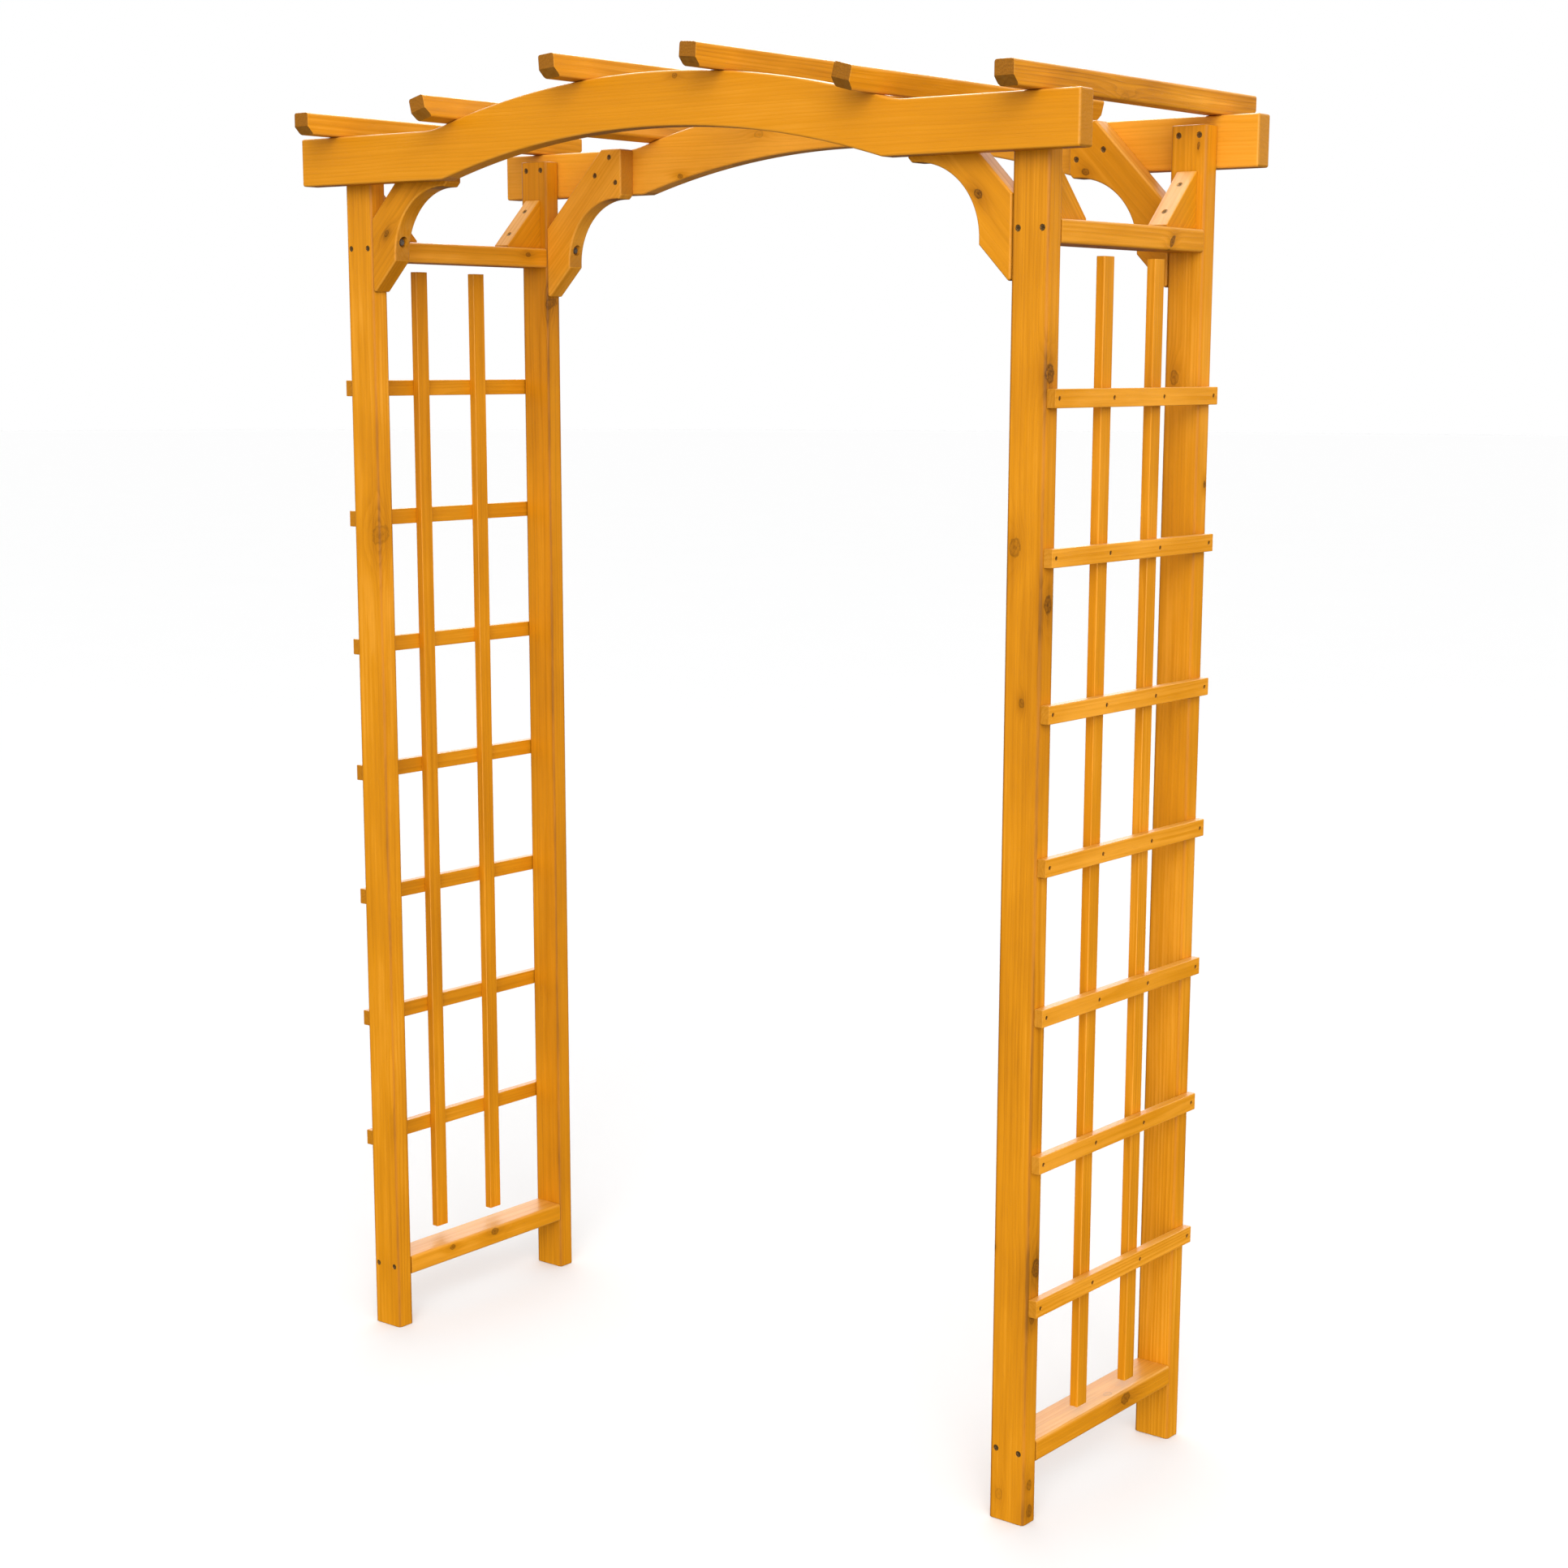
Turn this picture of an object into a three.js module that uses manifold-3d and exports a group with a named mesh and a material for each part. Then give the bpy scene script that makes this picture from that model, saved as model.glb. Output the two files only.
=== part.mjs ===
// A free-standing garden arch of planed and stained softwood: two trellis sides joined by two
// arched beams, with six rafters laid across the beams.
// Millimetres. X runs across the path, Y from the front to the rear, Z up. The origin is on the
// ground at the middle of the arch.
import * as THREE from 'three';
import { mergeVertices } from 'three/addons/utils/BufferGeometryUtils.js';
import Module from 'manifold-3d';

const wasm = await Module();
wasm.setup();

// Overall sizes
const archWidth = 1400;         // over the outer faces of the posts
const archDepth = 455;          // over the front and rear faces of the posts
const postHeight = 2057;

// Posts
const postWidth = 62;           // across the path
const postDepth = 33.5;

// Rails, laid flat between the two posts of a side
const railWidth = 62;
const railThickness = 33.5;
const topRailDrop = 151;        // post top down to the top face of the rail
const bottomRailHeight = 126;   // ground up to the top face of the rail

// Laths across a side and uprights behind them
const lathCount = 7;
const lathHeight = 26.5;
const lathThickness = 14;
const lathInset = 3;            // lath end inside the post face
const topLathDrop = 394.5;      // post top down to the middle of the highest lath
const bottomLathHeight = 342.5; // ground up to the middle of the lowest lath
const uprightCount = 2;
const uprightWidth = 26.5;
const uprightThickness = 14;
const uprightTopGap = 13.5;     // air under the top rail
const uprightBottomGap = 17;    // air over the bottom rail

// Arched beams
const beamThickness = 33.5;
const beamOverhang = 67.5;      // beam end beyond the outer face of the post
const beamEndDepth = 77;
const beamCrownDepth = 80;
const beamOverPost = 15;        // beam top above the post top
const archRise = 61;            // crown of the lower edge above the level ends
const lowerShoulder = 200;      // start of the lower arc, from the inner face of the post
const upperShoulder = 180;      // start of the upper arc, from the inner face of the post
const shoulderFillet = 150;

// Rafters
const rafterCount = 6;
const rafterWidth = 32;
const rafterHeight = 34.5;
const rafterOverhang = 68;      // rafter end beyond the face of the beam
const rafterInset = 10;         // middle of the outermost rafter, inside the outer face of the post
const rafterChamfer = 13;

// Curved corner braces between post and beam
const braceThickness = 33.5;
const braceWidth = 87;          // board width, square to its outer edge
const braceReach = 178;
const braceDrop = 8;            // lap below the level underside of the beam
const braceHeel = 55;           // from the post to the flat of the inner edge
const braceFlat = 8;
const braceArc = 107;
const braceNose = 7;

// Straight knee braces between post and top rail
const kneeThickness = 33.5;
const kneeLeg = 84;
const kneeBlunt = 3.5;          // sawn flat at the toe and at the tip

// Coach bolts, one through each corner brace into its post
const boltRadius = 3;
const boltFlangeRadius = 7.5;
const boltFlange = 1.6;
const boltHexRadius = 5.8;
const boltHexHeight = 5.4;
const boltPoint = 6;
const boltRecess = 10;          // depth of the counterbore
const boltRecessRadius = 9;
const boltCover = 16;           // wood left beyond the bolt's point
const boltDrop = 155;           // post top down to the bolt

// Countersunk screws through the knee braces
const screwRadius = 2;
const screwHeadRadius = 4;
const screwHeadDepth = 3.2;
const screwLength = 55;
const screwPoint = 5;
const screwInset = 20;          // from the toe and from the tip, measured along a leg

// Making
const easedEdge = 3;            // planed-off corner along every timber
const lathEase = 1;             // the same along the laths and uprights
const clearance = 0.3;          // air around a fastener and under a rafter
const arcSteps = 24;
const roundSteps = 16;

// Worked out from the sizes above
const innerFace = archWidth / 2 - postWidth;
const postX = archWidth / 2 - postWidth / 2;
const postY = archDepth / 2 - postDepth / 2;
const railLength = archDepth - 2 * postDepth;
const topRailTop = postHeight - topRailDrop;
const beamTop = postHeight + beamOverPost;
const beamBottom = beamTop - beamEndDepth;
const beamHalf = archWidth / 2 + beamOverhang;
const braceLapBottom = beamBottom - braceDrop;
const braceArcX = braceHeel + braceArc;
const braceArcZ = braceLapBottom - braceArc;
const boltZ = postHeight - boltDrop;

// The lower edge of a beam is an arc through two shoulders and a crown; the upper edge is another
// such arc, joined to the level ends by a hollow fillet.
function arcOver(halfSpan, base, rise) {
  const radius = (halfSpan ** 2 + rise ** 2) / (2 * rise);
  return { radius, centre: base + rise - radius, angle: Math.asin(halfSpan / radius) };
}
const lowerArc = arcOver(innerFace - lowerShoulder, beamBottom, archRise);
const upperRise = beamBottom + archRise + beamCrownDepth - beamTop;
const upperArc = arcOver(innerFace - upperShoulder, beamTop, upperRise);
const filletHeight = beamTop + shoulderFillet - upperArc.centre;
const filletX = Math.sqrt((upperArc.radius + shoulderFillet) ** 2 - filletHeight ** 2);
const filletAngle = Math.atan2(filletX, filletHeight);
const filletStart = upperArc.radius * Math.sin(filletAngle);

function beamTopAt(x) {
  const reach = Math.abs(x);
  if (reach <= filletStart) return upperArc.centre + Math.sqrt(upperArc.radius ** 2 - reach ** 2);
  if (reach >= filletX) return beamTop;
  return beamTop + shoulderFillet - Math.sqrt(shoulderFillet ** 2 - (filletX - reach) ** 2);
}

const wood = { color: 0xe2952f, roughness: 0.6, metalness: 0 };
const steel = { color: 0x8d8a84, roughness: 0.4, metalness: 0.9 };

function piece(name, geometry, finish) {
  const mesh = new THREE.Mesh(geometry, new THREE.MeshStandardMaterial(finish));
  mesh.name = name;
  return mesh;
}

// Solids for cutting and joining
function toSolid(geometry) {
  const bare = geometry.clone();
  bare.deleteAttribute('normal');
  bare.deleteAttribute('uv');
  const merged = mergeVertices(bare, 1e-4);
  return new wasm.Manifold(new wasm.Mesh({
    numProp: 3,
    vertProperties: new Float32Array(merged.attributes.position.array),
    triVerts: new Uint32Array(merged.index.array),
  }));
}

function toGeometry(solid) {
  const mesh = solid.getMesh();
  const geometry = new THREE.BufferGeometry();
  geometry.setAttribute('position', new THREE.BufferAttribute(new Float32Array(mesh.vertProperties), 3));
  geometry.setIndex(new THREE.BufferAttribute(new Uint32Array(mesh.triVerts), 1));
  geometry.computeVertexNormals();
  return geometry;
}

function cut(geometry, cutters) {
  return toGeometry(cutters.reduce((solid, cutter) => solid.subtract(toSolid(cutter)), toSolid(geometry)));
}

// A straight board along Z, centred on X and Y, with its four long corners planed off
function board(width, thickness, length, e = easedEdge) {
  const x = width / 2;
  const y = thickness / 2;
  const section = new THREE.Shape([
    [x - e, -y], [x, e - y], [x, y - e], [x - e, y], [e - x, y], [-x, y - e], [-x, e - y], [e - x, -y],
  ].map(([px, py]) => new THREE.Vector2(px, py)));
  return new THREE.ExtrudeGeometry(section, { depth: length, bevelEnabled: false, steps: 1 });
}

// The same board laid along Y, with its width across X and its middle at the origin
function boardAlongY(width, height, length, e) {
  return board(width, height, length, e).translate(0, 0, -length / 2).rotateX(Math.PI / 2);
}

// An outline cut from a board, centred on the board's thickness, with planed-off corners
function cutFromBoard(outline, thickness, e = easedEdge) {
  const geometry = new THREE.ExtrudeGeometry(outline, {
    depth: thickness - 2 * e, steps: 1, curveSegments: arcSteps,
    bevelEnabled: true, bevelThickness: e, bevelSize: e, bevelOffset: -e, bevelSegments: 1,
  });
  return geometry.translate(0, 0, e - thickness / 2);
}

// Turns an outline drawn in X and Y into one drawn in X and Z, or in Y and Z
const standInXZ = (geometry) => geometry.rotateX(Math.PI / 2);
const standInYZ = (geometry) => geometry.rotateX(Math.PI / 2).rotateZ(Math.PI / 2);

// A turned shape about Z from a profile of [radius, height] points
function turned(profile) {
  const points = profile.map(([radius, height]) => new THREE.Vector2(radius, height));
  return new THREE.LatheGeometry(points, roundSteps).rotateX(Math.PI / 2);
}

// The bolt goes in level, through the arc of the brace's inner edge and on into the post
const boltSurface = braceArcX - Math.sqrt(braceArc ** 2 - (boltZ - braceArcZ) ** 2);
const boltSeat = boltSurface - boltRecess;
const boltLength = boltSeat + postWidth - boltCover;

// The coach bolt's origin is under its flange, and its shank runs down -Z
function coachBolt() {
  const body = toSolid(turned([
    [0, -boltLength], [boltRadius, boltPoint - boltLength], [boltRadius, 0],
    [boltFlangeRadius, 0], [boltFlangeRadius, boltFlange], [0, boltFlange],
  ]));
  const height = boltHexHeight + boltFlange / 2;
  const hex = new THREE.CylinderGeometry(boltHexRadius, boltHexRadius, height, 6)
    .rotateX(Math.PI / 2).translate(0, 0, boltFlange / 2 + height / 2);
  return toGeometry(body.add(toSolid(hex)));
}

function boltHole() {
  const radius = boltRadius + clearance;
  return turned([
    [0, -boltLength - clearance], [radius, -boltLength - clearance], [radius, -clearance],
    [boltRecessRadius, -clearance], [boltRecessRadius, 4 * boltRecess], [0, 4 * boltRecess],
  ]);
}

// The screw's origin is the middle of its flat head, and its shank runs down -Z
function screwShape(gap) {
  const length = screwLength + gap;
  return turned([
    [0, -length], [screwRadius + gap, screwPoint - length], [screwRadius + gap, -screwHeadDepth],
    [screwHeadRadius + gap, -gap], [screwHeadRadius + gap, gap ? screwHeadRadius : 0.5],
    [0, gap ? screwHeadRadius : 0.5],
  ]);
}
const kneeScrew = () => screwShape(0).translate(0, 0, -1);
const screwHole = () => screwShape(clearance).translate(0, 0, -1);

// The knee brace is drawn from the corner between post and rail: Y away from the post, Z up.
// Both screws go in square to its sloped face.
const screwLow = [kneeLeg - screwInset, kneeBlunt + screwInset];
const screwHigh = [kneeBlunt + screwInset, kneeLeg - screwInset];
function alongScrew(geometry, [y, z]) {
  return geometry.rotateX(-Math.PI / 4).translate(0, y, z);
}

function kneeBrace() {
  const outline = new THREE.Shape();
  outline.moveTo(0, 0);
  outline.lineTo(kneeLeg, 0);
  outline.lineTo(kneeLeg, kneeBlunt);
  outline.lineTo(kneeBlunt, kneeLeg);
  outline.lineTo(0, kneeLeg);
  outline.closePath();
  const ease = Math.min(easedEdge, kneeBlunt / 2);
  const blank = standInYZ(cutFromBoard(outline, kneeThickness, ease));
  return cut(blank, [screwLow, screwHigh].map((place) => alongScrew(screwHole(), place)));
}

// A corner brace lies against the beam, like its post, so their middles are this far apart
const braceStep = (braceThickness - postDepth) / 2;

// Posts stand on the origin. The walkway is on the -X side, and the panel on the side of inward.
function post(inward) {
  const blank = board(postWidth, postDepth, postHeight);
  const bolt = boltHole().rotateY(-Math.PI / 2)
    .translate(-postWidth / 2 - boltSeat, inward * braceStep, boltZ);
  const screw = alongScrew(screwHole(), screwHigh).rotateZ(inward > 0 ? 0 : Math.PI)
    .translate(0, inward * postDepth / 2, topRailTop);
  return cut(blank, [bolt, screw]);
}

function topRail() {
  const blank = boardAlongY(railWidth, railThickness, railLength);
  const cutters = [0, Math.PI].map((turn) => alongScrew(screwHole(), screwLow)
    .translate(0, -railLength / 2, railThickness / 2).rotateZ(turn));
  return cut(blank, cutters);
}

// The corner brace is drawn from the inner face of its post: X away from the post is negative.
// A straight outer edge at 45 degrees, a lap on the beam, a quarter-round inner edge, a short
// flat and a cut back to the post at 45 degrees.
function cornerBrace() {
  const tip = braceArcZ - braceFlat - braceHeel;
  const outerStart = tip + braceWidth * Math.SQRT2;
  const outline = new THREE.Shape();
  outline.moveTo(0, tip);
  outline.lineTo(0, outerStart);
  outline.lineTo(outerStart - beamTop, beamTop);
  outline.lineTo(-braceReach, beamTop);
  outline.lineTo(-braceReach, braceLapBottom + braceNose);
  outline.lineTo(braceNose - braceReach, braceLapBottom);
  outline.lineTo(-braceArcX, braceLapBottom);
  outline.absarc(-braceArcX, braceArcZ, braceArc, Math.PI / 2, 0, true);
  outline.lineTo(-braceHeel, braceArcZ - braceFlat);
  outline.closePath();
  const blank = standInXZ(cutFromBoard(outline, braceThickness));
  const bolt = boltHole().rotateY(-Math.PI / 2).translate(-boltSeat, 0, boltZ);
  return cut(blank, [bolt]);
}

function archedBeam() {
  const foot = lowerArc.angle;
  const outline = new THREE.Shape();
  outline.moveTo(-beamHalf, beamBottom);
  outline.lineTo(lowerShoulder - innerFace, beamBottom);
  outline.absarc(0, lowerArc.centre, lowerArc.radius, Math.PI / 2 + foot, Math.PI / 2 - foot, true);
  outline.lineTo(beamHalf, beamBottom);
  outline.lineTo(beamHalf, beamTop);
  outline.lineTo(filletX, beamTop);
  const filletZ = beamTop + shoulderFillet;
  outline.absarc(filletX, filletZ, shoulderFillet, -Math.PI / 2, -Math.PI / 2 - filletAngle, true);
  outline.absarc(0, upperArc.centre, upperArc.radius,
    Math.PI / 2 - filletAngle, Math.PI / 2 + filletAngle, false);
  outline.absarc(-filletX, filletZ, shoulderFillet, -Math.PI / 2 + filletAngle, -Math.PI / 2, true);
  outline.lineTo(-beamHalf, beamTop);
  outline.closePath();
  return standInXZ(cutFromBoard(outline, beamThickness));
}

// Rafters have their lower corners sawn off at both ends, and their origin under their middle
function rafter() {
  const half = archDepth / 2 + beamThickness + rafterOverhang;
  const outline = new THREE.Shape();
  outline.moveTo(rafterChamfer - half, 0);
  outline.lineTo(half - rafterChamfer, 0);
  outline.lineTo(half, rafterChamfer);
  outline.lineTo(half, rafterHeight);
  outline.lineTo(-half, rafterHeight);
  outline.lineTo(-half, rafterChamfer);
  outline.closePath();
  return standInYZ(cutFromBoard(outline, rafterWidth));
}

// A rafter lies on the beam's curve: it tilts with the chord under its foot, and is lifted clear
// of the highest point there.
function rafterSeat(x) {
  const halfFoot = rafterWidth / 2;
  const low = beamTopAt(x - halfFoot);
  const high = beamTopAt(x + halfFoot);
  const slope = (high - low) / rafterWidth;
  let lift = 0;
  for (let step = 0; step <= arcSteps; step++) {
    const dx = halfFoot * (2 * step / arcSteps - 1);
    lift = Math.max(lift, beamTopAt(x + dx) - (low + high) / 2 - slope * dx);
  }
  return { tilt: Math.atan(slope), z: (low + high) / 2 + lift + clearance };
}

// One side of the arch, drawn as the right-hand one: the walkway is on its -X side.
// ends names its two posts, first the one at -Y and then the one at +Y.
function sidePanel(side, ends) {
  const panel = new THREE.Group();
  panel.add(piece(`${side}_top_rail`, topRail(), wood));
  panel.children[0].position.set(postX, 0, topRailTop - railThickness / 2);
  const lowRail = piece(`${side}_bottom_rail`, boardAlongY(railWidth, railThickness, railLength), wood);
  lowRail.position.set(postX, 0, bottomRailHeight - railThickness / 2);
  panel.add(lowRail);

  ends.forEach((end, index) => {
    const inward = index === 0 ? 1 : -1;
    const corner = `${end}_${side}`;
    const column = new THREE.Group();
    column.position.set(postX, -inward * postY, 0);
    column.add(piece(`${corner}_post`, post(inward), wood));

    const braceY = inward * braceStep;
    const brace = piece(`${corner}_corner_brace`, cornerBrace(), wood);
    brace.position.set(-postWidth / 2, braceY, 0);
    const bolt = piece(`${corner}_coach_bolt`, coachBolt(), steel);
    bolt.position.set(-postWidth / 2 - boltSeat, braceY, boltZ);
    bolt.rotation.y = -Math.PI / 2;
    column.add(brace, bolt);

    const knee = new THREE.Group();
    knee.position.set(0, inward * postDepth / 2, topRailTop);
    knee.rotation.z = inward > 0 ? 0 : Math.PI;
    knee.add(piece(`${corner}_knee_brace`, kneeBrace(), wood));
    knee.add(piece(`${corner}_knee_screw_upper`, alongScrew(kneeScrew(), screwHigh), steel));
    knee.add(piece(`${corner}_knee_screw_lower`, alongScrew(kneeScrew(), screwLow), steel));
    column.add(knee);
    panel.add(column);
  });

  const lathPitch = (postHeight - topLathDrop - bottomLathHeight) / (lathCount - 1);
  for (let i = 0; i < lathCount; i++) {
    const lath = piece(`${side}_lath_${i + 1}`,
      boardAlongY(lathThickness, lathHeight, archDepth - 2 * lathInset, lathEase), wood);
    lath.position.set(archWidth / 2 + lathThickness / 2, 0, bottomLathHeight + i * lathPitch);
    panel.add(lath);
  }

  const foot = bottomRailHeight + uprightBottomGap;
  const uprightLength = topRailTop - railThickness - uprightTopGap - foot;
  const uprightPitch = (railLength + uprightWidth) / (uprightCount + 1);
  for (let i = 0; i < uprightCount; i++) {
    const place = index => (index - (uprightCount - 1) / 2) * uprightPitch;
    const end = ends[place(i) < 0 ? 0 : 1];
    const upright = piece(`${side}_upright_${end}`,
      board(uprightThickness, uprightWidth, uprightLength, lathEase), wood);
    upright.position.set(archWidth / 2 - uprightThickness / 2, place(i), foot);
    panel.add(upright);
  }
  return panel;
}

const arch = new THREE.Group();
arch.add(sidePanel('right', ['front', 'rear']));
const left = sidePanel('left', ['rear', 'front']);
left.rotation.z = Math.PI;
arch.add(left);

for (const [end, side] of [['front', -1], ['rear', 1]]) {
  const beam = piece(`${end}_beam`, archedBeam(), wood);
  beam.position.y = side * (archDepth + beamThickness) / 2;
  arch.add(beam);
}

const rafterSpan = archWidth - 2 * rafterInset;
for (let i = 0; i < rafterCount; i++) {
  const x = rafterSpan * (i / (rafterCount - 1) - 0.5);
  const seat = rafterSeat(x);
  const bar = piece(`rafter_${i + 1}`, rafter(), wood);
  bar.position.set(x, 0, seat.z);
  bar.rotation.y = -seat.tilt;
  arch.add(bar);
}

export default arch;
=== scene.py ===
import math

import bpy
import numpy as np
from mathutils import Matrix, Vector


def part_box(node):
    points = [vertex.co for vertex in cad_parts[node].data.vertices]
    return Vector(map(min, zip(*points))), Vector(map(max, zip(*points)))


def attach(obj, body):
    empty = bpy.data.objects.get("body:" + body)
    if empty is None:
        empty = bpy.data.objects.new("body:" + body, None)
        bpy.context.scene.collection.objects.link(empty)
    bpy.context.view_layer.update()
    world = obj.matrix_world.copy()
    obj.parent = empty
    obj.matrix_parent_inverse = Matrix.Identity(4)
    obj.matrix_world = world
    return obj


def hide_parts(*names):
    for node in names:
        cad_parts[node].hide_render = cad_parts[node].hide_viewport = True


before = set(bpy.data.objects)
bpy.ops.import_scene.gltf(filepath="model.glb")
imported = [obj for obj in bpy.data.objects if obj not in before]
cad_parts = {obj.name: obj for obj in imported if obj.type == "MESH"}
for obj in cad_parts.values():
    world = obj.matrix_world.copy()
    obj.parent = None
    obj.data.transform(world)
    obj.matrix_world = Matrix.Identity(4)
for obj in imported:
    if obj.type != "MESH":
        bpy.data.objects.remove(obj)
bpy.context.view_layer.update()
scene = bpy.context.scene
print("garden arch: frame loaded,", len(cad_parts), "solids")


view = {
    "place": (2.7530, -3.3898, 1.7190),  # metres
    "turn": 0.6654,  # radians to the left of straight back
    "tilt": -0.1884,
    "roll": 0.0034,
    "lens": 61.58,  # mm
    "shift": (-0.00988, 0.0532),
}

camera = bpy.data.objects.new("camera", bpy.data.cameras.new("camera"))
camera.data.sensor_width = 36
camera.data.lens = view["lens"]
camera.data.shift_x, camera.data.shift_y = view["shift"]
camera.data.clip_end = 200
camera.matrix_world = (
    Matrix.Translation(view["place"])
    @ Matrix.Rotation(view["turn"], 4, "Z")
    @ Matrix.Rotation(math.pi / 2 + view["tilt"], 4, "X")
    @ Matrix.Rotation(view["roll"], 4, "Z")
)
scene.collection.objects.link(camera)
scene.camera = camera


def feed(tree, socket, source):
    # a socket takes either another socket or a plain value
    if isinstance(source, bpy.types.NodeSocket):
        tree.links.new(source, socket)
    else:
        socket.default_value = source


def addNode(tree, kind, inputs=(), **settings):
    # a shader node, its inputs fed in order
    node = tree.nodes.new("ShaderNode" + kind)
    for name, value in settings.items():
        setattr(node, name, value)
    for place, source in enumerate(inputs):
        if source is not None:
            feed(tree, node.inputs[place], source)
    return node


def calc(tree, operation, *inputs, clamp=False):
    # one step of arithmetic
    return addNode(tree, "Math", inputs, operation=operation, use_clamp=clamp).outputs[0]


def vec(tree, operation, *inputs):
    # one step of arithmetic on vectors
    node = addNode(tree, "VectorMath", inputs, operation=operation)
    return node.outputs["Value" if operation in ("LENGTH", "DOT_PRODUCT", "DISTANCE") else "Vector"]


def ramp(tree, value, low, high, toLow=0.0, toHigh=1.0, smooth=True):
    # low to high becomes toLow to toHigh, and it stays level beyond both
    kind = "SMOOTHSTEP" if smooth else "LINEAR"
    node = addNode(tree, "MapRange", (value, low, high, toLow, toHigh), interpolation_type=kind)
    return node.outputs[0]


def cloud(tree, place, stretch, detail=2.0, rough=0.5):
    # noise whose lumps are 1 / stretch metres long on each axis
    scaled = vec(tree, "MULTIPLY", place, stretch)
    node = addNode(tree, "TexNoise", (scaled,))
    node.inputs["Scale"].default_value = 1.0
    node.inputs["Detail"].default_value = detail
    node.inputs["Roughness"].default_value = rough
    return node


def blendColour(tree, share, first, second, kind="MIX"):
    # first where share is 0, second where it is 1
    node = addNode(tree, "Mix", data_type="RGBA", blend_type=kind)
    feed(tree, node.inputs["Factor"], share)
    feed(tree, node.inputs[6], first)
    feed(tree, node.inputs[7], second)
    return node.outputs[2]


def newMaterial(name):
    # a material, its node tree and its shader
    material = bpy.data.materials.new(name)
    material.use_nodes = True
    tree = material.node_tree
    return material, tree, tree.nodes["Principled BSDF"]


studio = {
    "zenith": 0.25,  # brightness overhead
    "horizon": 1.05,
    "ground": 0.16,  # light from below, as off a lawn
    "sheenFrom": (-0.62, 0.78, 0.0),  # low light is mirrored from this side, and little of it elsewhere
    "flagged": 0.04,
    "glows": [  # broad soft brightenings of the sky: strength, where from, how tight
        (2.10, (0.66, -0.66, 0.13), 2.5),
        (1.80, (-0.55, 0.62, 0.16), 2.8),
    ],
    # two square panels: watts, size, place and whether it lights the wood or only gives it sheen
    "panels": {
        "keyPanel": (235.0, 4.5, (4.6, -6.2, 5.2), True),
        "sheenPanel": (560.0, 4.5, (-2.2, 2.6, 6.2), False),
    },
    "floorTone": 0.95,
    "floorRadius": 60.0,
}


def makeStudio():
    scene.view_settings.view_transform = "Standard"
    world = bpy.data.worlds.new("studio")
    scene.world = world
    world.use_nodes = True
    tree = world.node_tree
    across = addNode(tree, "TexCoord").outputs["Generated"]
    height = addNode(tree, "SeparateXYZ", (across,)).outputs[2]
    low = ramp(tree, height, -0.04, 0.20, studio["ground"], studio["horizon"])
    high = ramp(tree, height, 0.1, 1.0, 0.0, studio["zenith"] - studio["horizon"])
    light = calc(tree, "ADD", low, high)
    for strength, source, tightness in studio["glows"]:
        towards = vec(tree, "DOT_PRODUCT", across, tuple(Vector(source).normalized()))
        glow = calc(tree, "POWER", calc(tree, "MAXIMUM", towards, 0.0), tightness)
        light = calc(tree, "ADD", light, calc(tree, "MULTIPLY", glow, strength))
    # dark flags stand on the other sides, and the backdrop itself is plain white
    path = addNode(tree, "LightPath").outputs
    beside = ramp(tree, vec(tree, "DOT_PRODUCT", across, studio["sheenFrom"]), 0.75, 0.30)
    flags = calc(tree, "MULTIPLY", beside, ramp(tree, height, 0.55, 0.20))
    flags = calc(tree, "MAXIMUM", flags, ramp(tree, height, 0.05, -0.05))
    flags = calc(tree, "MULTIPLY", flags, path["Is Glossy Ray"])
    light = calc(tree, "MULTIPLY", light, ramp(tree, flags, 0, 1, 1.0, studio["flagged"], False))
    behind = calc(tree, "SUBTRACT", 1.0, path["Is Camera Ray"])
    light = calc(tree, "ADD", calc(tree, "MULTIPLY", light, behind), path["Is Camera Ray"])
    feed(tree, tree.nodes["Background"].inputs[1], light)
    tree.nodes["Background"].inputs[0].default_value = (1.0, 1.0, 1.0, 1.0)

    for name, (watts, size, place, lights) in studio["panels"].items():
        lamp = bpy.data.objects.new(name, bpy.data.lights.new(name, "AREA"))
        lamp.data.energy = watts
        lamp.data.size = size
        lamp.location = place
        aim = Vector((0, 0, 1.1)) - lamp.location
        lamp.rotation_euler = aim.to_track_quat("-Z", "Y").to_euler()
        lamp.visible_diffuse = lights
        scene.collection.objects.link(lamp)


def makeFloor():
    # a disc: (r cos a, r sin a, 0)
    r = np.array([[0.5], [4.0], [15.0], [studio["floorRadius"]]])
    a = np.linspace(0, 2 * np.pi, 64, endpoint=False)
    rings = np.stack([r * np.cos(a), r * np.sin(a), r * 0 * a], -1)
    floor = bpy.data.objects.new("floor", bpy.data.meshes.new("floor"))
    rows, count = rings.shape[:2]
    here = np.arange(rows * count).reshape(rows, count)
    faces = gridFaces(here)
    floor.data.from_pydata(rings.reshape(-1, 3).tolist(), [], faces.tolist() + [here[0].tolist()])
    scene.collection.objects.link(floor)
    material, tree, shader = newMaterial("paleFloor")
    place = addNode(tree, "TexCoord").outputs["Object"]
    mottle = cloud(tree, place, (1.5, 1.5, 1.5)).outputs[0]
    tone = studio["floorTone"]
    duller = tone - 0.01
    colour = blendColour(tree, mottle, (tone, tone, tone, 1), (duller, duller, duller, 1))
    feed(tree, shader.inputs["Base Color"], colour)
    shader.inputs["Roughness"].default_value = 0.9
    shader.inputs["Specular IOR Level"].default_value = 0.0
    floor.data.materials.append(material)
    floor.visible_diffuse = False
    floor.visible_glossy = False


def gridFaces(here):
    # the four-sided faces between neighbouring rings of numbered points
    there = np.roll(here, -1, 1)
    return np.stack([here[:-1], there[:-1], there[1:], here[1:]], -1).reshape(-1, 4)


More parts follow.
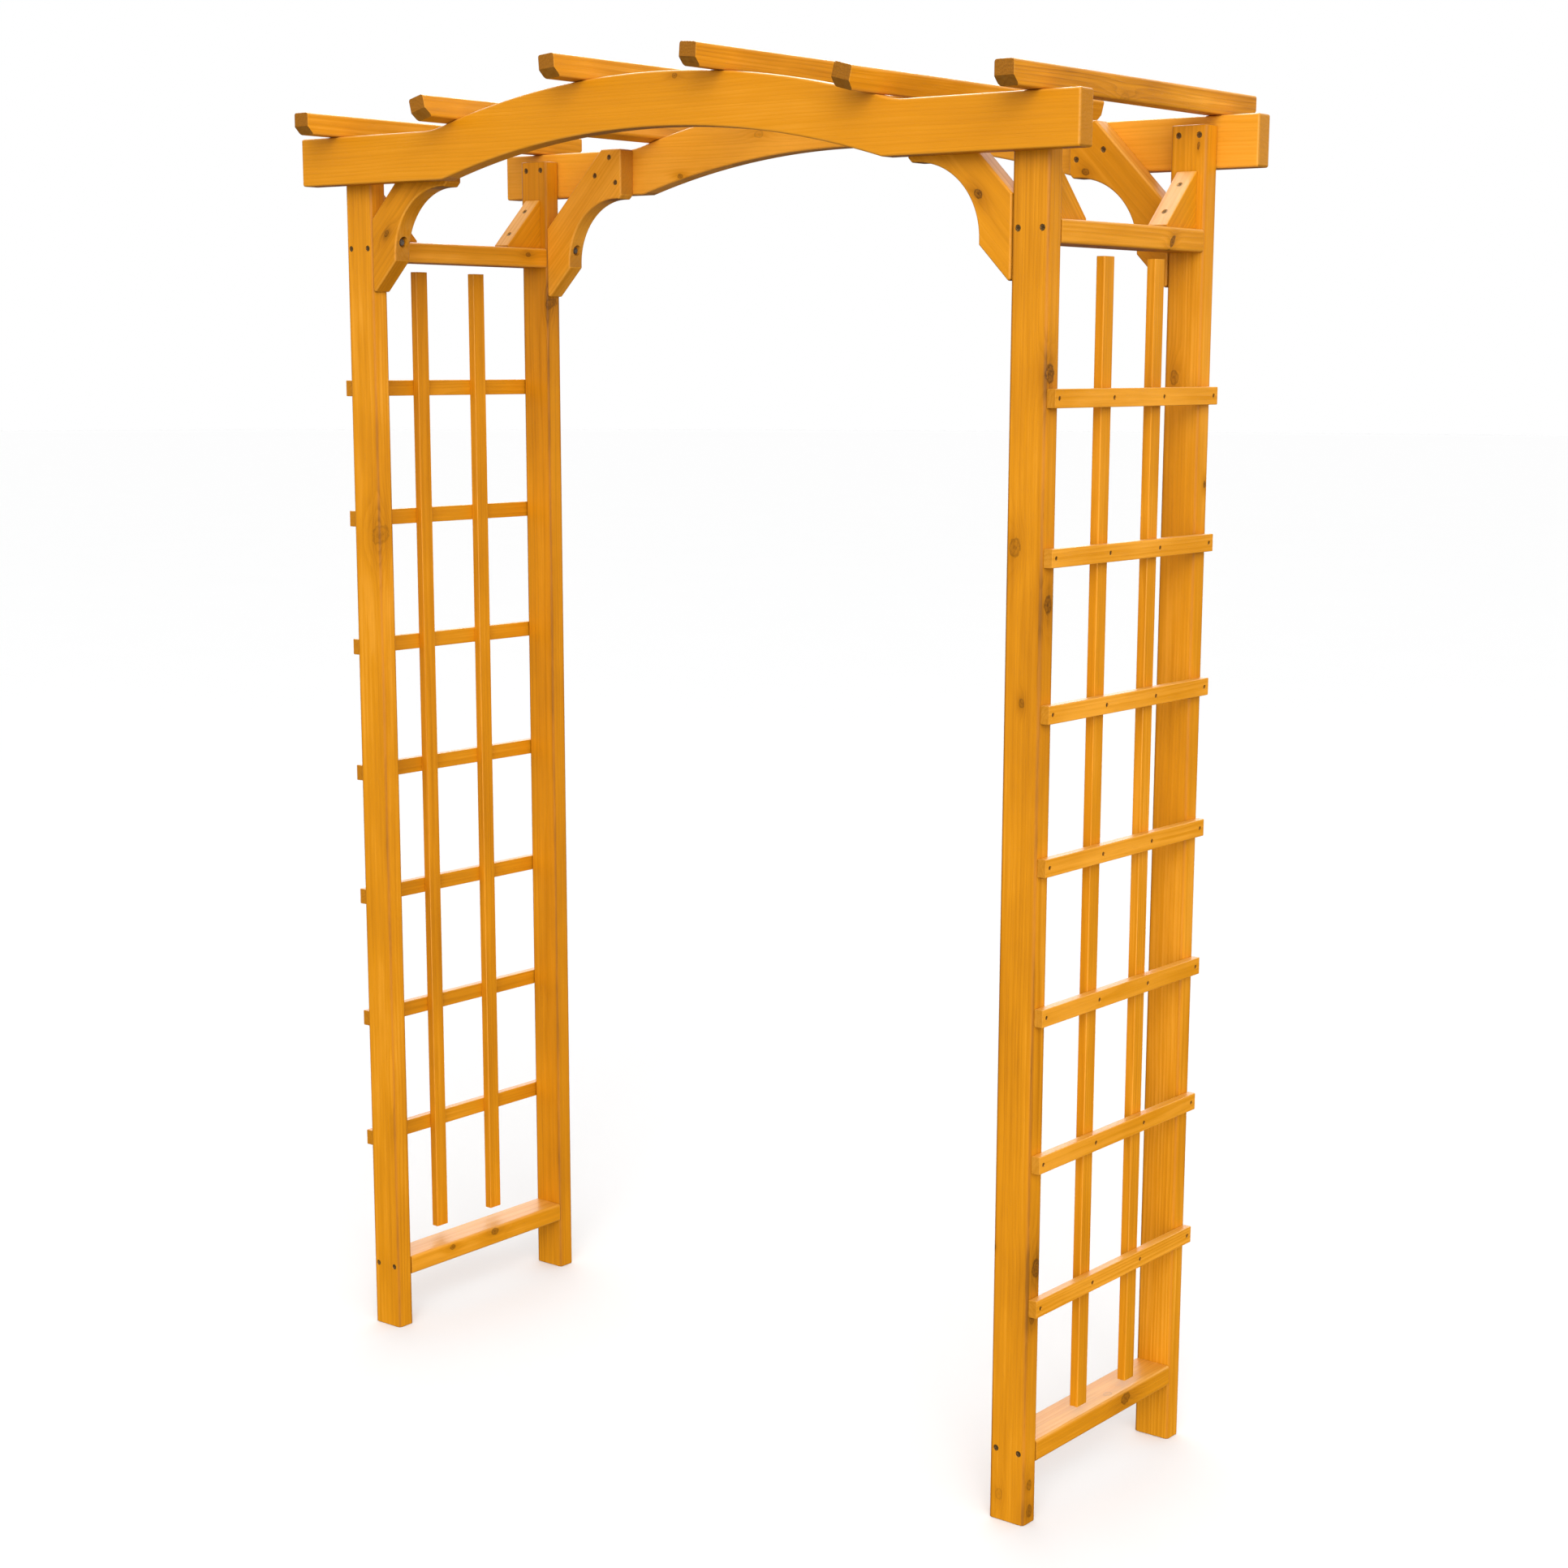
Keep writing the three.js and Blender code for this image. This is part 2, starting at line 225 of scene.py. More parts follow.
def ringedSolid(name, rings, basis=None, origin=(0, 0, 0)):
    # rings of points, each the same count, closed by a flat face at the first and the last.
    # A point is origin + a A + b B + h T, with A, B and T the columns of basis.
    rings = np.asarray(rings, float)
    basis = np.eye(3) if basis is None else np.asarray(basis, float).T
    rows, count = rings.shape[:2]
    here = np.arange(rows * count).reshape(rows, count)
    faces = gridFaces(here).tolist() + [here[0][::-1].tolist(), here[-1].tolist()]
    if np.linalg.det(basis) < 0:
        faces = [face[::-1] for face in faces]
    points = rings.reshape(-1, 3) @ basis.T + np.asarray(origin, float)
    mesh = bpy.data.meshes.new(name)
    mesh.from_pydata(points.tolist(), [], faces)
    piece = bpy.data.objects.new(name, mesh)
    scene.collection.objects.link(piece)
    return piece


def unit(vectors):
    # the same directions, each of length 1
    return vectors / np.linalg.norm(vectors, axis=-1, keepdims=True)


def roundOff(corners, radii, steps=5):
    # each corner of a closed outline turns on an arc that touches both its sides:
    # centre + spoke turned by an angle that runs evenly from nothing to the corner's turn
    corners = np.asarray(corners, float)
    radii = np.broadcast_to(np.asarray(radii, float), (len(corners),))
    before = unit(corners - np.roll(corners, 1, 0))
    after = unit(np.roll(corners, -1, 0) - corners)
    bend = np.arctan2(before[:, 0] * after[:, 1] - before[:, 1] * after[:, 0], (before * after).sum(1))
    start = corners - before * (radii * np.tan(np.abs(bend) / 2))[:, None]
    left = np.stack([-before[:, 1], before[:, 0]], 1)
    centre = start + left * (np.sign(bend) * radii)[:, None]
    spoke = (start - centre)[:, None]
    angle = bend[:, None] * np.linspace(0, 1, steps + 1)
    cos, sin = np.cos(angle), np.sin(angle)
    points = centre[:, None] + np.stack([spoke[..., 0] * cos - spoke[..., 1] * sin,
                                         spoke[..., 0] * sin + spoke[..., 1] * cos], -1)
    keep = (radii[:, None] > 0) | (np.arange(steps + 1) == 0)
    return points[keep]


def boardSection(width, height, ease, steps):
    # a rectangle about the origin, its corners quarter circles of radius ease
    x, y = width / 2, height / 2
    return roundOff([(-x, -y), (x, -y), (x, y), (-x, y)], ease, steps)


def arc(centre, radius, start, end, count):
    # centre + radius (cos a, sin a)
    a = np.linspace(start, end, count)
    return np.stack([centre[0] + radius * np.cos(a), centre[1] + radius * np.sin(a)], 1)


def moveIn(outline, distance):
    # every side moves inwards by the distance: p + d (n1 + n2) / (1 + n1 . n2)
    side = unit(np.roll(outline, -1, 0) - outline)
    inward = np.stack([-side[:, 1], side[:, 0]], 1)
    other = np.roll(inward, 1, 0)
    step = (inward + other) / (1 + (inward * other).sum(1, keepdims=True))
    return outline + step * distance


def cutTimber(name, outline, thickness, ease, basis, origin, steps=4):
    # an outline carried through the thickness. Its edges are a quarter round:
    # inset = ease (1 - sin t), depth = ease (1 - cos t)
    area = np.cross(outline, np.roll(outline, -1, 0)).sum()
    outline = outline[::-1] if area < 0 else outline
    t = np.linspace(0, np.pi / 2, steps + 1)
    inset = ease * (1 - np.sin(t))
    depth = ease * (1 - np.cos(t))
    flat = np.stack([moveIn(outline, d) for d in inset])
    level = np.broadcast_to((depth - thickness / 2)[:, None, None], flat.shape[:2] + (1,))
    low = np.concatenate([flat, level], 2)
    high = low[::-1] * (1, 1, -1)
    return ringedSolid(name, np.concatenate([low, high]), basis, origin)


def turned(name, profile, steps, basis, origin):
    # radius and height carried round the axis: (r cos a, r sin a, h)
    profile = np.asarray(profile, float)
    a = np.linspace(0, 2 * np.pi, steps, endpoint=False)
    rings = np.stack([profile[:, :1] * np.cos(a), profile[:, :1] * np.sin(a),
                      np.broadcast_to(profile[:, 1:], (len(profile), steps))], -1)
    return ringedSolid(name, rings, basis, origin)


def facingBasis(direction):
    # three square directions, the last of them the one given
    t = unit(np.asarray(direction, float))
    a = unit(np.cross((0, 0, 1) if abs(t[2]) < 0.9 else (1, 0, 0), t))
    return [a, np.cross(t, a), t]


def bakeModifiers(piece):
    # the mesh becomes what its modifiers make of it
    graph = bpy.context.evaluated_depsgraph_get()
    mesh = bpy.data.meshes.new_from_object(piece.evaluated_get(graph))
    piece.modifiers.clear()
    piece.data = mesh
    mesh.name = piece.name


def joinPieces(name, pieces):
    # meshes stacked into one: the point numbers of each move up by the points before it
    points = []
    corners = []
    sizes = []
    count = 0
    for piece in pieces:
        mesh = piece.data
        co = np.empty(len(mesh.vertices) * 3)
        mesh.vertices.foreach_get("co", co)
        corner = np.empty(len(mesh.loops), np.int32)
        mesh.loops.foreach_get("vertex_index", corner)
        size = np.empty(len(mesh.polygons), np.int32)
        mesh.polygons.foreach_get("loop_total", size)
        points.append(co.reshape(-1, 3))
        corners.append(corner + count)
        sizes.append(size)
        count += len(mesh.vertices)
        bpy.data.objects.remove(piece)
    lastCorners = np.cumsum(np.concatenate(sizes))[:-1]
    faces = [face.tolist() for face in np.split(np.concatenate(corners), lastCorners)]
    mesh = bpy.data.meshes.new(name)
    mesh.from_pydata(np.concatenate(points).tolist(), [], faces)
    whole = bpy.data.objects.new(name, mesh)
    scene.collection.objects.link(whole)
    return whole


def drill(piece, cutters):
    # the piece less all its cutters
    if not cutters:
        return
    cutter = joinPieces("cutter", cutters)
    change = piece.modifiers.new("holes", "BOOLEAN")
    change.operation = "DIFFERENCE"
    change.solver = "EXACT"
    change.object = cutter
    bakeModifiers(piece)
    bpy.data.objects.remove(cutter)


def smoothEdges(piece, angle=32):
    # rounded corners shade softly, flats stay flat and sawn rims stay crisp
    piece.data.shade_smooth()
    piece.data.set_sharp_from_angle(angle=math.radians(angle))
    weigh = piece.modifiers.new("weigh", "WEIGHTED_NORMAL")
    weigh.keep_sharp = True
    weigh.mode = "FACE_AREA"
    bakeModifiers(piece)


stain = {
    "pale": (0.820, 0.345, 0.028, 1),
    # paler colour: worn edges, and also the painted highlight on edges and the painted sheen on upward faces
    "wearAndHighlight": (0.780, 0.370, 0.060, 1),
    "gold": (0.656, 0.248, 0.005, 1),
    "deep": (0.492, 0.174, 0.003, 1),
    "brown": (0.246, 0.087, 0.002, 1),
    "knot": (0.30, 0.108, 0.004, 1),
    "heart": (0.15, 0.050, 0.003, 1),
    "bark": (0.075, 0.026, 0.003, 1),
    "sawn": (0.28, 0.102, 0.004, 1),
    # painted shade, laid on saw cuts that face down
    "shade": (0.10, 0.035, 0.003, 1),
    "ringWidth": 0.0058,
    "sheen": 0.35,  # roughness of the coated face
}


def knotGroup():
    # one branch seen where it comes through a board: a core, a dark rim and grain that bends round it
    group = bpy.data.node_groups.new("knot", "ShaderNodeTree")
    for name, kind in (("Place", "NodeSocketVector"), ("Centre", "NodeSocketVector"),
                       ("Axis", "NodeSocketVector"), ("Size", "NodeSocketFloat")):
        group.interface.new_socket(name, in_out="INPUT", socket_type=kind)
    for name in ("Core", "Rim", "Halo"):
        group.interface.new_socket(name, in_out="OUTPUT", socket_type="NodeSocketFloat")
    enter = group.nodes.new("NodeGroupInput").outputs
    leave = group.nodes.new("NodeGroupOutput").inputs
    away = vec(group, "SUBTRACT", enter["Place"], enter["Centre"])
    along = vec(group, "DOT_PRODUCT", away, enter["Axis"])
    onAxis = vec(group, "SCALE", enter["Axis"])
    feed(group, onAxis.node.inputs["Scale"], along)
    off = vec(group, "MULTIPLY", vec(group, "SUBTRACT", away, onAxis), (0.66, 1, 1))
    lumps = cloud(group, enter["Place"], (160, 160, 160), 2).outputs[0]
    reach = calc(group, "DIVIDE", vec(group, "LENGTH", off), enter["Size"])
    reach = calc(group, "ADD", reach, ramp(group, lumps, 0, 1, -0.35, 0.35, False))
    feed(group, leave["Core"], ramp(group, reach, 1.15, 0.80))
    edge = ramp(group, calc(group, "ABSOLUTE", calc(group, "SUBTRACT", reach, 0.92)), 0.24, 0.0)
    pith = ramp(group, reach, 0.34, 0.10)
    feed(group, leave["Rim"], calc(group, "MAXIMUM", edge, calc(group, "MULTIPLY", pith, 0.7)))
    # the darkened grain round it trails off along the board
    long = vec(group, "LENGTH", vec(group, "MULTIPLY", off, (0.62, 1, 1)))
    fade = calc(group, "DIVIDE", long, enter["Size"])
    fade = calc(group, "MULTIPLY", calc(group, "MULTIPLY", fade, fade), -0.22)
    feed(group, leave["Halo"], calc(group, "EXPONENT", fade))
    return group


knotNodes = knotGroup()


def stainedWood(name, knots=()):
    # grain is a point in the board's own metres: x runs with the fibres, and y and z are
    # measured from the heart of the tree. facing is (end grain; paler edges and tops, partly wear, partly
    # painted highlight on edges and painted sheen on upward faces;
    # how much darker the colour is, stain with painted light and shade added), and figure is how strongly a
    # timber shows its grain.
    material, tree, shader = newMaterial(name)
    grain = addNode(tree, "Attribute", attribute_name="grain").outputs["Vector"]
    facing = addNode(tree, "Attribute", attribute_name="facing").outputs["Vector"]
    facing = addNode(tree, "SeparateXYZ", (facing,))
    figure = addNode(tree, "Attribute", attribute_name="figure").outputs["Fac"]

    core, rim, halo, bulge = 0.0, 0.0, 0.0, 0.0
    for centre, axis, size, depth in knots:
        knot = addNode(tree, "Group")
        knot.node_tree = knotNodes
        feed(tree, knot.inputs["Place"], grain)
        knot.inputs["Centre"].default_value = centre
        knot.inputs["Axis"].default_value = axis
        knot.inputs["Size"].default_value = size
        core = calc(tree, "MAXIMUM", core, calc(tree, "MULTIPLY", knot.outputs["Core"], depth))
        rim = calc(tree, "MAXIMUM", rim, calc(tree, "MULTIPLY", knot.outputs["Rim"], depth))
        halo = calc(tree, "MAXIMUM", halo, calc(tree, "MULTIPLY", knot.outputs["Halo"], depth))
        bulge = calc(tree, "ADD", bulge, calc(tree, "MULTIPLY", knot.outputs["Halo"], size * 1.6))

    # growth rings: distance from the heart, wandering a little along the board
    drift = vec(tree, "SUBTRACT", cloud(tree, grain, (1.6, 9, 9), 2).outputs["Color"], (0.5, 0.5, 0.5))
    wander = vec(tree, "MULTIPLY", drift, (0, 0.022, 0.022))
    bent = vec(tree, "MULTIPLY", vec(tree, "ADD", grain, wander), (0, 1, 1))
    radius = calc(tree, "ADD", vec(tree, "LENGTH", bent), bulge)
    uneven = ramp(tree, cloud(tree, vec(tree, "MULTIPLY", bent, (0, 1, 1)), (1, 60, 60), 1).outputs[0],
                  0, 1, -1.1, 1.1, False)
    ring = calc(tree, "FRACT", calc(tree, "ADD", calc(tree, "DIVIDE", radius, stain["ringWidth"]), uneven))
    late = calc(tree, "MULTIPLY", ramp(tree, ring, 0.25, 0.92), ramp(tree, ring, 1.0, 0.93))

    # fibres: long thin streaks, and short dark dashes where pores are cut open
    fine = cloud(tree, grain, (14, 760, 760), 3, 0.6).outputs[0]
    broad = cloud(tree, grain, (3.5, 130, 130), 3, 0.55).outputs[0]
    dash = ramp(tree, cloud(tree, grain, (55, 1700, 1700), 1).outputs[0], 0.66, 0.76)
    blotch = cloud(tree, grain, (4.5, 13, 13), 3, 0.5).outputs[0]
    tide = cloud(tree, grain, (0.9, 3, 3), 1).outputs[0]

    bold = ramp(tree, tide, 0.35, 0.65, 0.05, 0.17)  # the rings show more on some stretches
    tone = calc(tree, "MULTIPLY", late, bold)
    tone = calc(tree, "ADD", tone, ramp(tree, fine, 0.25, 0.75, -0.07, 0.07, False))
    tone = calc(tree, "ADD", tone, ramp(tree, broad, 0.25, 0.75, -0.12, 0.12, False))
    tone = calc(tree, "ADD", tone, ramp(tree, blotch, 0.25, 0.75, -0.15, 0.17, False))
    tone = calc(tree, "ADD", tone, calc(tree, "MULTIPLY", dash, 0.10))
    tone = calc(tree, "MULTIPLY", tone, figure)
    tone = calc(tree, "ADD", tone, calc(tree, "MULTIPLY", halo, 0.42))
    tone = calc(tree, "ADD", tone, facing.outputs[2])
    tone = calc(tree, "ADD", tone, 0.30, clamp=True)
    steps = addNode(tree, "ValToRGB", (tone,))
    band = steps.color_ramp.elements
    band[0].position, band[0].color = 0.0, stain["pale"]
    band[1].position, band[1].color = 1.0, stain["brown"]
    for place, colour in ((0.30, stain["gold"]), (0.68, stain["deep"])):
        band.new(place).color = colour
    colour = steps.outputs[0]

    # paler stain on the rounded edges, partly wear and partly painted highlight, with a painted sheen on
    # faces that look up; and thirsty dark end grain
    wearAndHighlight = calc(tree, "MULTIPLY", facing.outputs[1], ramp(tree, broad, 0.35, 0.65, 0.12, 0.50))
    colour = blendColour(tree, wearAndHighlight, colour, stain["wearAndHighlight"])
    sawn = blendColour(tree, ramp(tree, late, 0, 1, 0.0, 0.75), stain["sawn"], stain["brown"])
    speck = cloud(tree, grain, (900, 900, 900), 2).outputs[0]
    sawn = blendColour(tree, ramp(tree, speck, 0.45, 0.7, 0.0, 0.5), sawn, stain["deep"])
    # painted shade: end grain goes towards the shade colour on timbers painted darker, and most where it
    # faces down
    sawn = blendColour(tree, ramp(tree, facing.outputs[2], 0.20, 0.50, 0.0, 0.8), sawn, stain["shade"])
    colour = blendColour(tree, facing.outputs[0], colour, sawn)
    if knots:
        flecks = cloud(tree, grain, (260, 420, 420), 3, 0.6).outputs[0]
        heart = blendColour(tree, ramp(tree, flecks, 0.40, 0.62), stain["heart"], stain["knot"])
        share = calc(tree, "MULTIPLY", calc(tree, "MULTIPLY", core, core), 0.9)
        colour = blendColour(tree, share, colour, heart)
        cracks = calc(tree, "MULTIPLY", core, ramp(tree, flecks, 0.42, 0.34))
        colour = blendColour(tree, calc(tree, "MULTIPLY", cracks, 0.6), colour, stain["bark"])
        colour = blendColour(tree, calc(tree, "MULTIPLY", rim, 0.55), colour, stain["bark"])
    feed(tree, shader.inputs["Base Color"], colour)

    rough = calc(tree, "ADD", ramp(tree, fine, 0.2, 0.8, -0.05, 0.09, False), stain["sheen"])
    rough = calc(tree, "ADD", rough, calc(tree, "MULTIPLY", facing.outputs[0], 0.10))
    feed(tree, shader.inputs["Roughness"], calc(tree, "SUBTRACT", rough, calc(tree, "MULTIPLY", late, 0.05)))
    shader.inputs["Specular IOR Level"].default_value = 0.26

    height = calc(tree, "MULTIPLY", late, 0.30)
    height = calc(tree, "ADD", height, calc(tree, "MULTIPLY", fine, 0.5))
    height = calc(tree, "ADD", height, calc(tree, "MULTIPLY", broad, 0.6))
    height = calc(tree, "SUBTRACT", height, calc(tree, "MULTIPLY", dash, 0.4))
    if knots:
        height = calc(tree, "ADD", height, calc(tree, "MULTIPLY", core, 0.5))
    bump = addNode(tree, "Bump")
    bump.inputs["Strength"].default_value = 0.55
    bump.inputs["Distance"].default_value = 0.0005
    feed(tree, bump.inputs["Height"], height)
    feed(tree, shader.inputs["Normal"], bump.outputs[0])
    return material


plainWood = stainedWood("stainedSoftwood")


timbersMade = []
stainAndShading = {  # how much darker a timber is painted, on the scale of the colour steps: partly its own stain, and partly painted shade (above nothing) and painted light (below nothing) for how much light reaches it
    "front_left_corner_brace": 0.16,
    "rear_left_corner_brace": -0.22,
    "rear_left_post": 0.08,
    "rear_right_post": -0.06,
    "front_right_post": 0.09,
    "front_left_post": -0.04,
    "rear_beam": -0.26,
    "left_top_rail": -0.12,
    "left_bottom_rail": -0.10,
    "rafter_6": 0.08,
}
# the right laths are painted lighter; painted shade on the left laths and the left uprights
for row in range(7):
    stainAndShading[f"right_lath_{row + 1}"] = -0.17
    stainAndShading[f"left_lath_{row + 1}"] = 0.05
for end in ("front", "rear"):
    stainAndShading[f"left_upright_{end}"] = 0.09


def finishTimber(piece, along, across, knots=(), heart=None, figure=1.0, sawn=0.8):
    name = piece.name[: -len("_timber")]
    # grain = (p . along, p . across, p . through) less the heart of the tree, which lies outside
    # or inside the board, at a place of its own for each timber
    along = unit(np.asarray(along, float))
    across = unit(np.asarray(across, float))
    through = np.cross(along, across)
    basis = np.stack([along, across, through])
    smoothEdges(piece)
    mesh = piece.data
    points = np.empty(len(mesh.vertices) * 3, np.float32)
    mesh.vertices.foreach_get("co", points)
    points = points.reshape(-1, 3)
    middle = (points.min(0) + points.max(0)) / 2
    random = np.random.default_rng(700 + len(timbersMade))
    if heart is None:
        angle = random.uniform(0, 2 * np.pi)
        reach = random.uniform(0.02, 0.075)
        heart = (reach * math.cos(angle), reach * math.sin(angle))
    shift = np.array([random.uniform(3, 40), 0, 0]) - basis @ middle - np.array([0, heart[0], heart[1]])
    place = mesh.attributes.new("grain", "FLOAT_VECTOR", "POINT")
    place.data.foreach_set("vector", (points @ basis.T + shift).astype(np.float32).ravel())

    normals = np.empty(len(mesh.polygons) * 3, np.float32)
    mesh.polygons.foreach_get("normal", normals)
    turnedTo = np.abs(normals.reshape(-1, 3) @ basis.T)
    endGrain = sawn * np.clip((turnedTo[:, 0] - 0.35) / 0.5, 0, 1)
    rounded = np.clip(2 * np.max(turnedTo * np.roll(turnedTo, 1, 1), 1), 0, 1)
    facing = mesh.attributes.new("facing", "FLOAT_VECTOR", "FACE")
    # painted shade: saw cuts that face down are darkened
    under = np.clip(-2 * normals.reshape(-1, 3)[:, 2], 0, 1) * (endGrain > 0.3)
    # painted shade along the rounded edges of the posts; the rounded edges of the rest are paler, partly
    # wear and partly painted highlight
    paintedPostEdgeShade = rounded * name.endswith("_post")
    # colour depth: each timber's stain with its painted light and shade, plus the painted shade under
    # downward saw cuts and along post edges
    depth = stainAndShading.get(name, 0.0) + 0.40 * under + 0.35 * paintedPostEdgeShade
    # and faces that look up are painted paler: a painted sheen
    paintedTopSheen = 2 * np.clip((normals.reshape(-1, 3)[:, 2] - 0.4) / 0.3, 0, 1)
    wearAndHighlight = np.maximum(rounded - paintedPostEdgeShade, paintedTopSheen)
    facing.data.foreach_set("vector", np.stack([endGrain, wearAndHighlight, depth], 1).astype(np.float32).ravel())

    strength = mesh.attributes.new("figure", "FLOAT", "POINT")
    strength.data.foreach_set("value", np.full(len(mesh.vertices), figure, np.float32))

    own = []
    for centre, axis, size, depth in knots:
        inBoard = basis @ np.asarray(centre) + shift
        own.append((tuple(inBoard), tuple(basis @ unit(np.asarray(axis, float))), size, depth))
    mesh.materials.clear()
    mesh.materials.append(stainedWood(piece.name + "_wood", own) if own else plainWood)
    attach(piece, "root")
    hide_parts(name)
    timbersMade.append(piece)


fastener = {
    "headRadius": 0.0043,
    "shankRadius": 0.0023,
    "sinkDepth": 0.0033,
    "below": 0.0006,  # the head lies this far under the wood
    "nailRadius": 0.0031,
    "nailBelow": 0.0012,
    "boltHoleRadius": 0.009,
    "recessWidth": 0.00062,
    "recessReach": 0.0027,
    "recessDepth": 0.0014,
}
holesIn = {}
headsOf = {}


def setFastener(timber, group, kind, place, outward):
    # kind is "screw" or "nail"; place is on the face of the timber, and outward points out of it
    holesIn.setdefault(timber, []).append((kind, place, outward))
    headsOf.setdefault(group, []).append((kind, place, outward))


def holeCutter(kind, place, outward):
    # a profile turned about outward: countersunk for a screw, hardly wider than its head for a nail
    f = fastener
    if kind == "screw":
        profile = [(f["shankRadius"], -0.008), (f["shankRadius"], -f["sinkDepth"] - f["below"]),
                   (f["headRadius"] + 0.0002, -f["below"]), (f["headRadius"] + 0.0008, 0.0004),
                   (f["headRadius"] + 0.0008, 0.004)]
    else:
        profile = [(f["nailRadius"] + 0.0001, -0.004), (f["nailRadius"] + 0.0002, -0.0003),
                   (f["nailRadius"] + 0.0005, 0.0002), (f["nailRadius"] + 0.0005, 0.002)]
    return turned("hole", profile, 20, facingBasis(outward), place)


def screwHead(place, outward, turn):
    # a cone up to a flat rim, then the flat top with a cross sunk in it: on the top the height is
    # -depth where a point is near either arm of the cross
    f = fastener
    a = np.linspace(0, 2 * np.pi, 32, endpoint=False)
    r = np.array([0.10, 0.50, 0.96, 1.0, 0.94, 0.72, 0.60, 0.50, 0.38, 0.26, 0.14, 0.05]) * f["headRadius"]
    h = np.array([-0.0032, -0.0030, -0.0002, -0.0001, 0, 0, 0, 0, 0, 0, 0, 0])
    r[0:2] = (0.0008, 0.0022)
    x, y = np.abs(r[:, None] * np.cos(a)), np.abs(r[:, None] * np.sin(a))
    sunk = np.clip((f["recessWidth"] + 0.0002 - np.minimum(x, y)) / 0.0003, 0, 1)
    sunk = sunk * np.clip((f["recessReach"] - np.maximum(x, y)) / 0.0006, 0, 1)
    sunk[:5] = 0
    heights = h[:, None] - f["below"] - sunk * f["recessDepth"]
    rings = np.stack([r[:, None] * np.cos(a + turn), r[:, None] * np.sin(a + turn), heights], -1)
    return ringedSolid("head", rings, facingBasis(outward), place)


def nailHead(place, outward):
    # a shallow dome: (r cos a, r sin a, h)
    f = fastener
    r = f["nailRadius"]
    low = -f["nailBelow"]
    profile = [(r * 0.6, low - 0.002), (r * 0.98, low - 0.0005), (r, low - 0.0002), (r * 0.8, low - 0.00003),
               (r * 0.3, low)]
    return turned("nail", profile, 12, facingBasis(outward), place)


sides = {"left": -1, "right": 1}
ends = {"front": -1, "rear": 1}
postLow, postHigh = (np.array(c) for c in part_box("front_right_post"))
arch = {
    "outer": postHigh[0],
    "inner": postLow[0],
    "postMiddle": (postLow[0] + postHigh[0]) / 2,
    "halfDepth": -postLow[1],
    "panelFace": -postHigh[1],
    "postTop": postHigh[2],
}
axisX, axisY, axisZ = np.eye(3)


def boxOf(node):
    # low corner, high corner, middle and size of a node of the frame
    low, high = (np.array(c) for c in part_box(node))
    return low, high, (low + high) / 2, high - low


posts = {
    "ease": 0.0058,
    "endEase": 0.0014,
    "screwSpread": 0.020,  # either side of the post's middle
    "topScrewSpread": 0.0175,
    "topScrewDrop": 0.015,
    "figure": {"front_right": 1.25, "front_left": 1.15},  # how boldly the grain shows
    # place, direction of the branch, size and darkness of each knot
    "knots": {
        "front_right": [
            ((0.700, -0.218, 1.696), (1, -0.7, 0.15), 0.0085, 1.0),
            ((0.654, -0.2275, 1.456), (0.2, 1, 0.3), 0.0090, 0.62),
            ((0.700, -0.211, 1.377), (1, -0.5, 0.1), 0.0085, 0.95),
            ((0.670, -0.2275, 1.237), (0.1, 1, -0.4), 0.0044, 0.75),
            ((0.700, -0.207, 0.399), (1, -0.4, 0), 0.0090, 1.0),
            ((0.700, -0.215, 0.323), (1, -0.6, 0.2), 0.0050, 0.7),
            ((0.656, -0.2275, 0.041), (0, 1, 0.4), 0.0060, 0.35),
            ((0.641, -0.2275, 0.426), (0, 1, 0), 0.0020, 0.8),
            ((0.700, -0.213, 0.062), (1, -0.6, 0.1), 0.0055, 0.7),
            ((0.700, -0.211, 0.020), (1, -0.6, 0), 0.0065, 0.8),
        ],
        "rear_right": [
            ((0.656, 0.194, 1.689), (0.1, 1, 0.2), 0.0070, 0.60),
            ((0.700, 0.218, 1.530), (1, 0, 0.2), 0.0036, 0.9),
            ((0.686, 0.194, 2.026), (0.1, 0.5, 1), 0.0022, 0.9),
        ],
        "front_left": [
            ((-0.640, -0.224, 1.418), (0.8, 1, 0.3), 0.0100, 0.42),
        ],
        "rear_left": [
            ((-0.6355, 0.194, 1.809), (0.2, 1, 0.2), 0.0070, 0.8),
        ],
    },
}


def makePost(corner):
    # a rectangle with rounded corners carried up the post
    low, high, middle, size = boxOf(corner + "_post")
    section = boardSection(size[0], size[1], posts["ease"], 6)
    piece = cutTimber(corner + "_post_timber", section, size[2], posts["endEase"],
                      [axisX, axisY, axisZ], middle, 3)
    drill(piece, [holeCutter(*hole) for hole in holesIn.get(corner + "_post", [])])
    figure = posts["figure"].get(corner, 1.0)
    finishTimber(piece, axisZ, axisX, posts["knots"].get(corner, ()), figure=figure, sawn=0.7)


slats = {
    "railEase": 0.0046,
    "lathEase": 0.0013,
    "endEase": 0.0007,
    "uprightSpread": 0.0691,
    "nailInset": 0.213,
    "knots": {
        "right_bottom_rail": [((0.700, 0.060, 0.113), (1, 0.1, 0.5), 0.0080, 0.8),
                              ((0.685, 0.030, 0.126), (0.1, 0, 1), 0.0060, 0.35)],
        "left_bottom_rail": [((-0.638, -0.092, 0.116), (1, 0, 0.3), 0.0045, 0.8),
                             ((-0.638, 0.018, 0.118), (1, 0.1, 0.4), 0.0060, 0.8)],
        "right_top_rail": [((0.700, 0.103, 1.885), (0.45, 0.6, 0.9), 0.0038, 1.0)],
        "left_top_rail": [((-0.638, 0.146, 1.894), (1, 0, 0.1), 0.0040, 0.9)],
    },
}


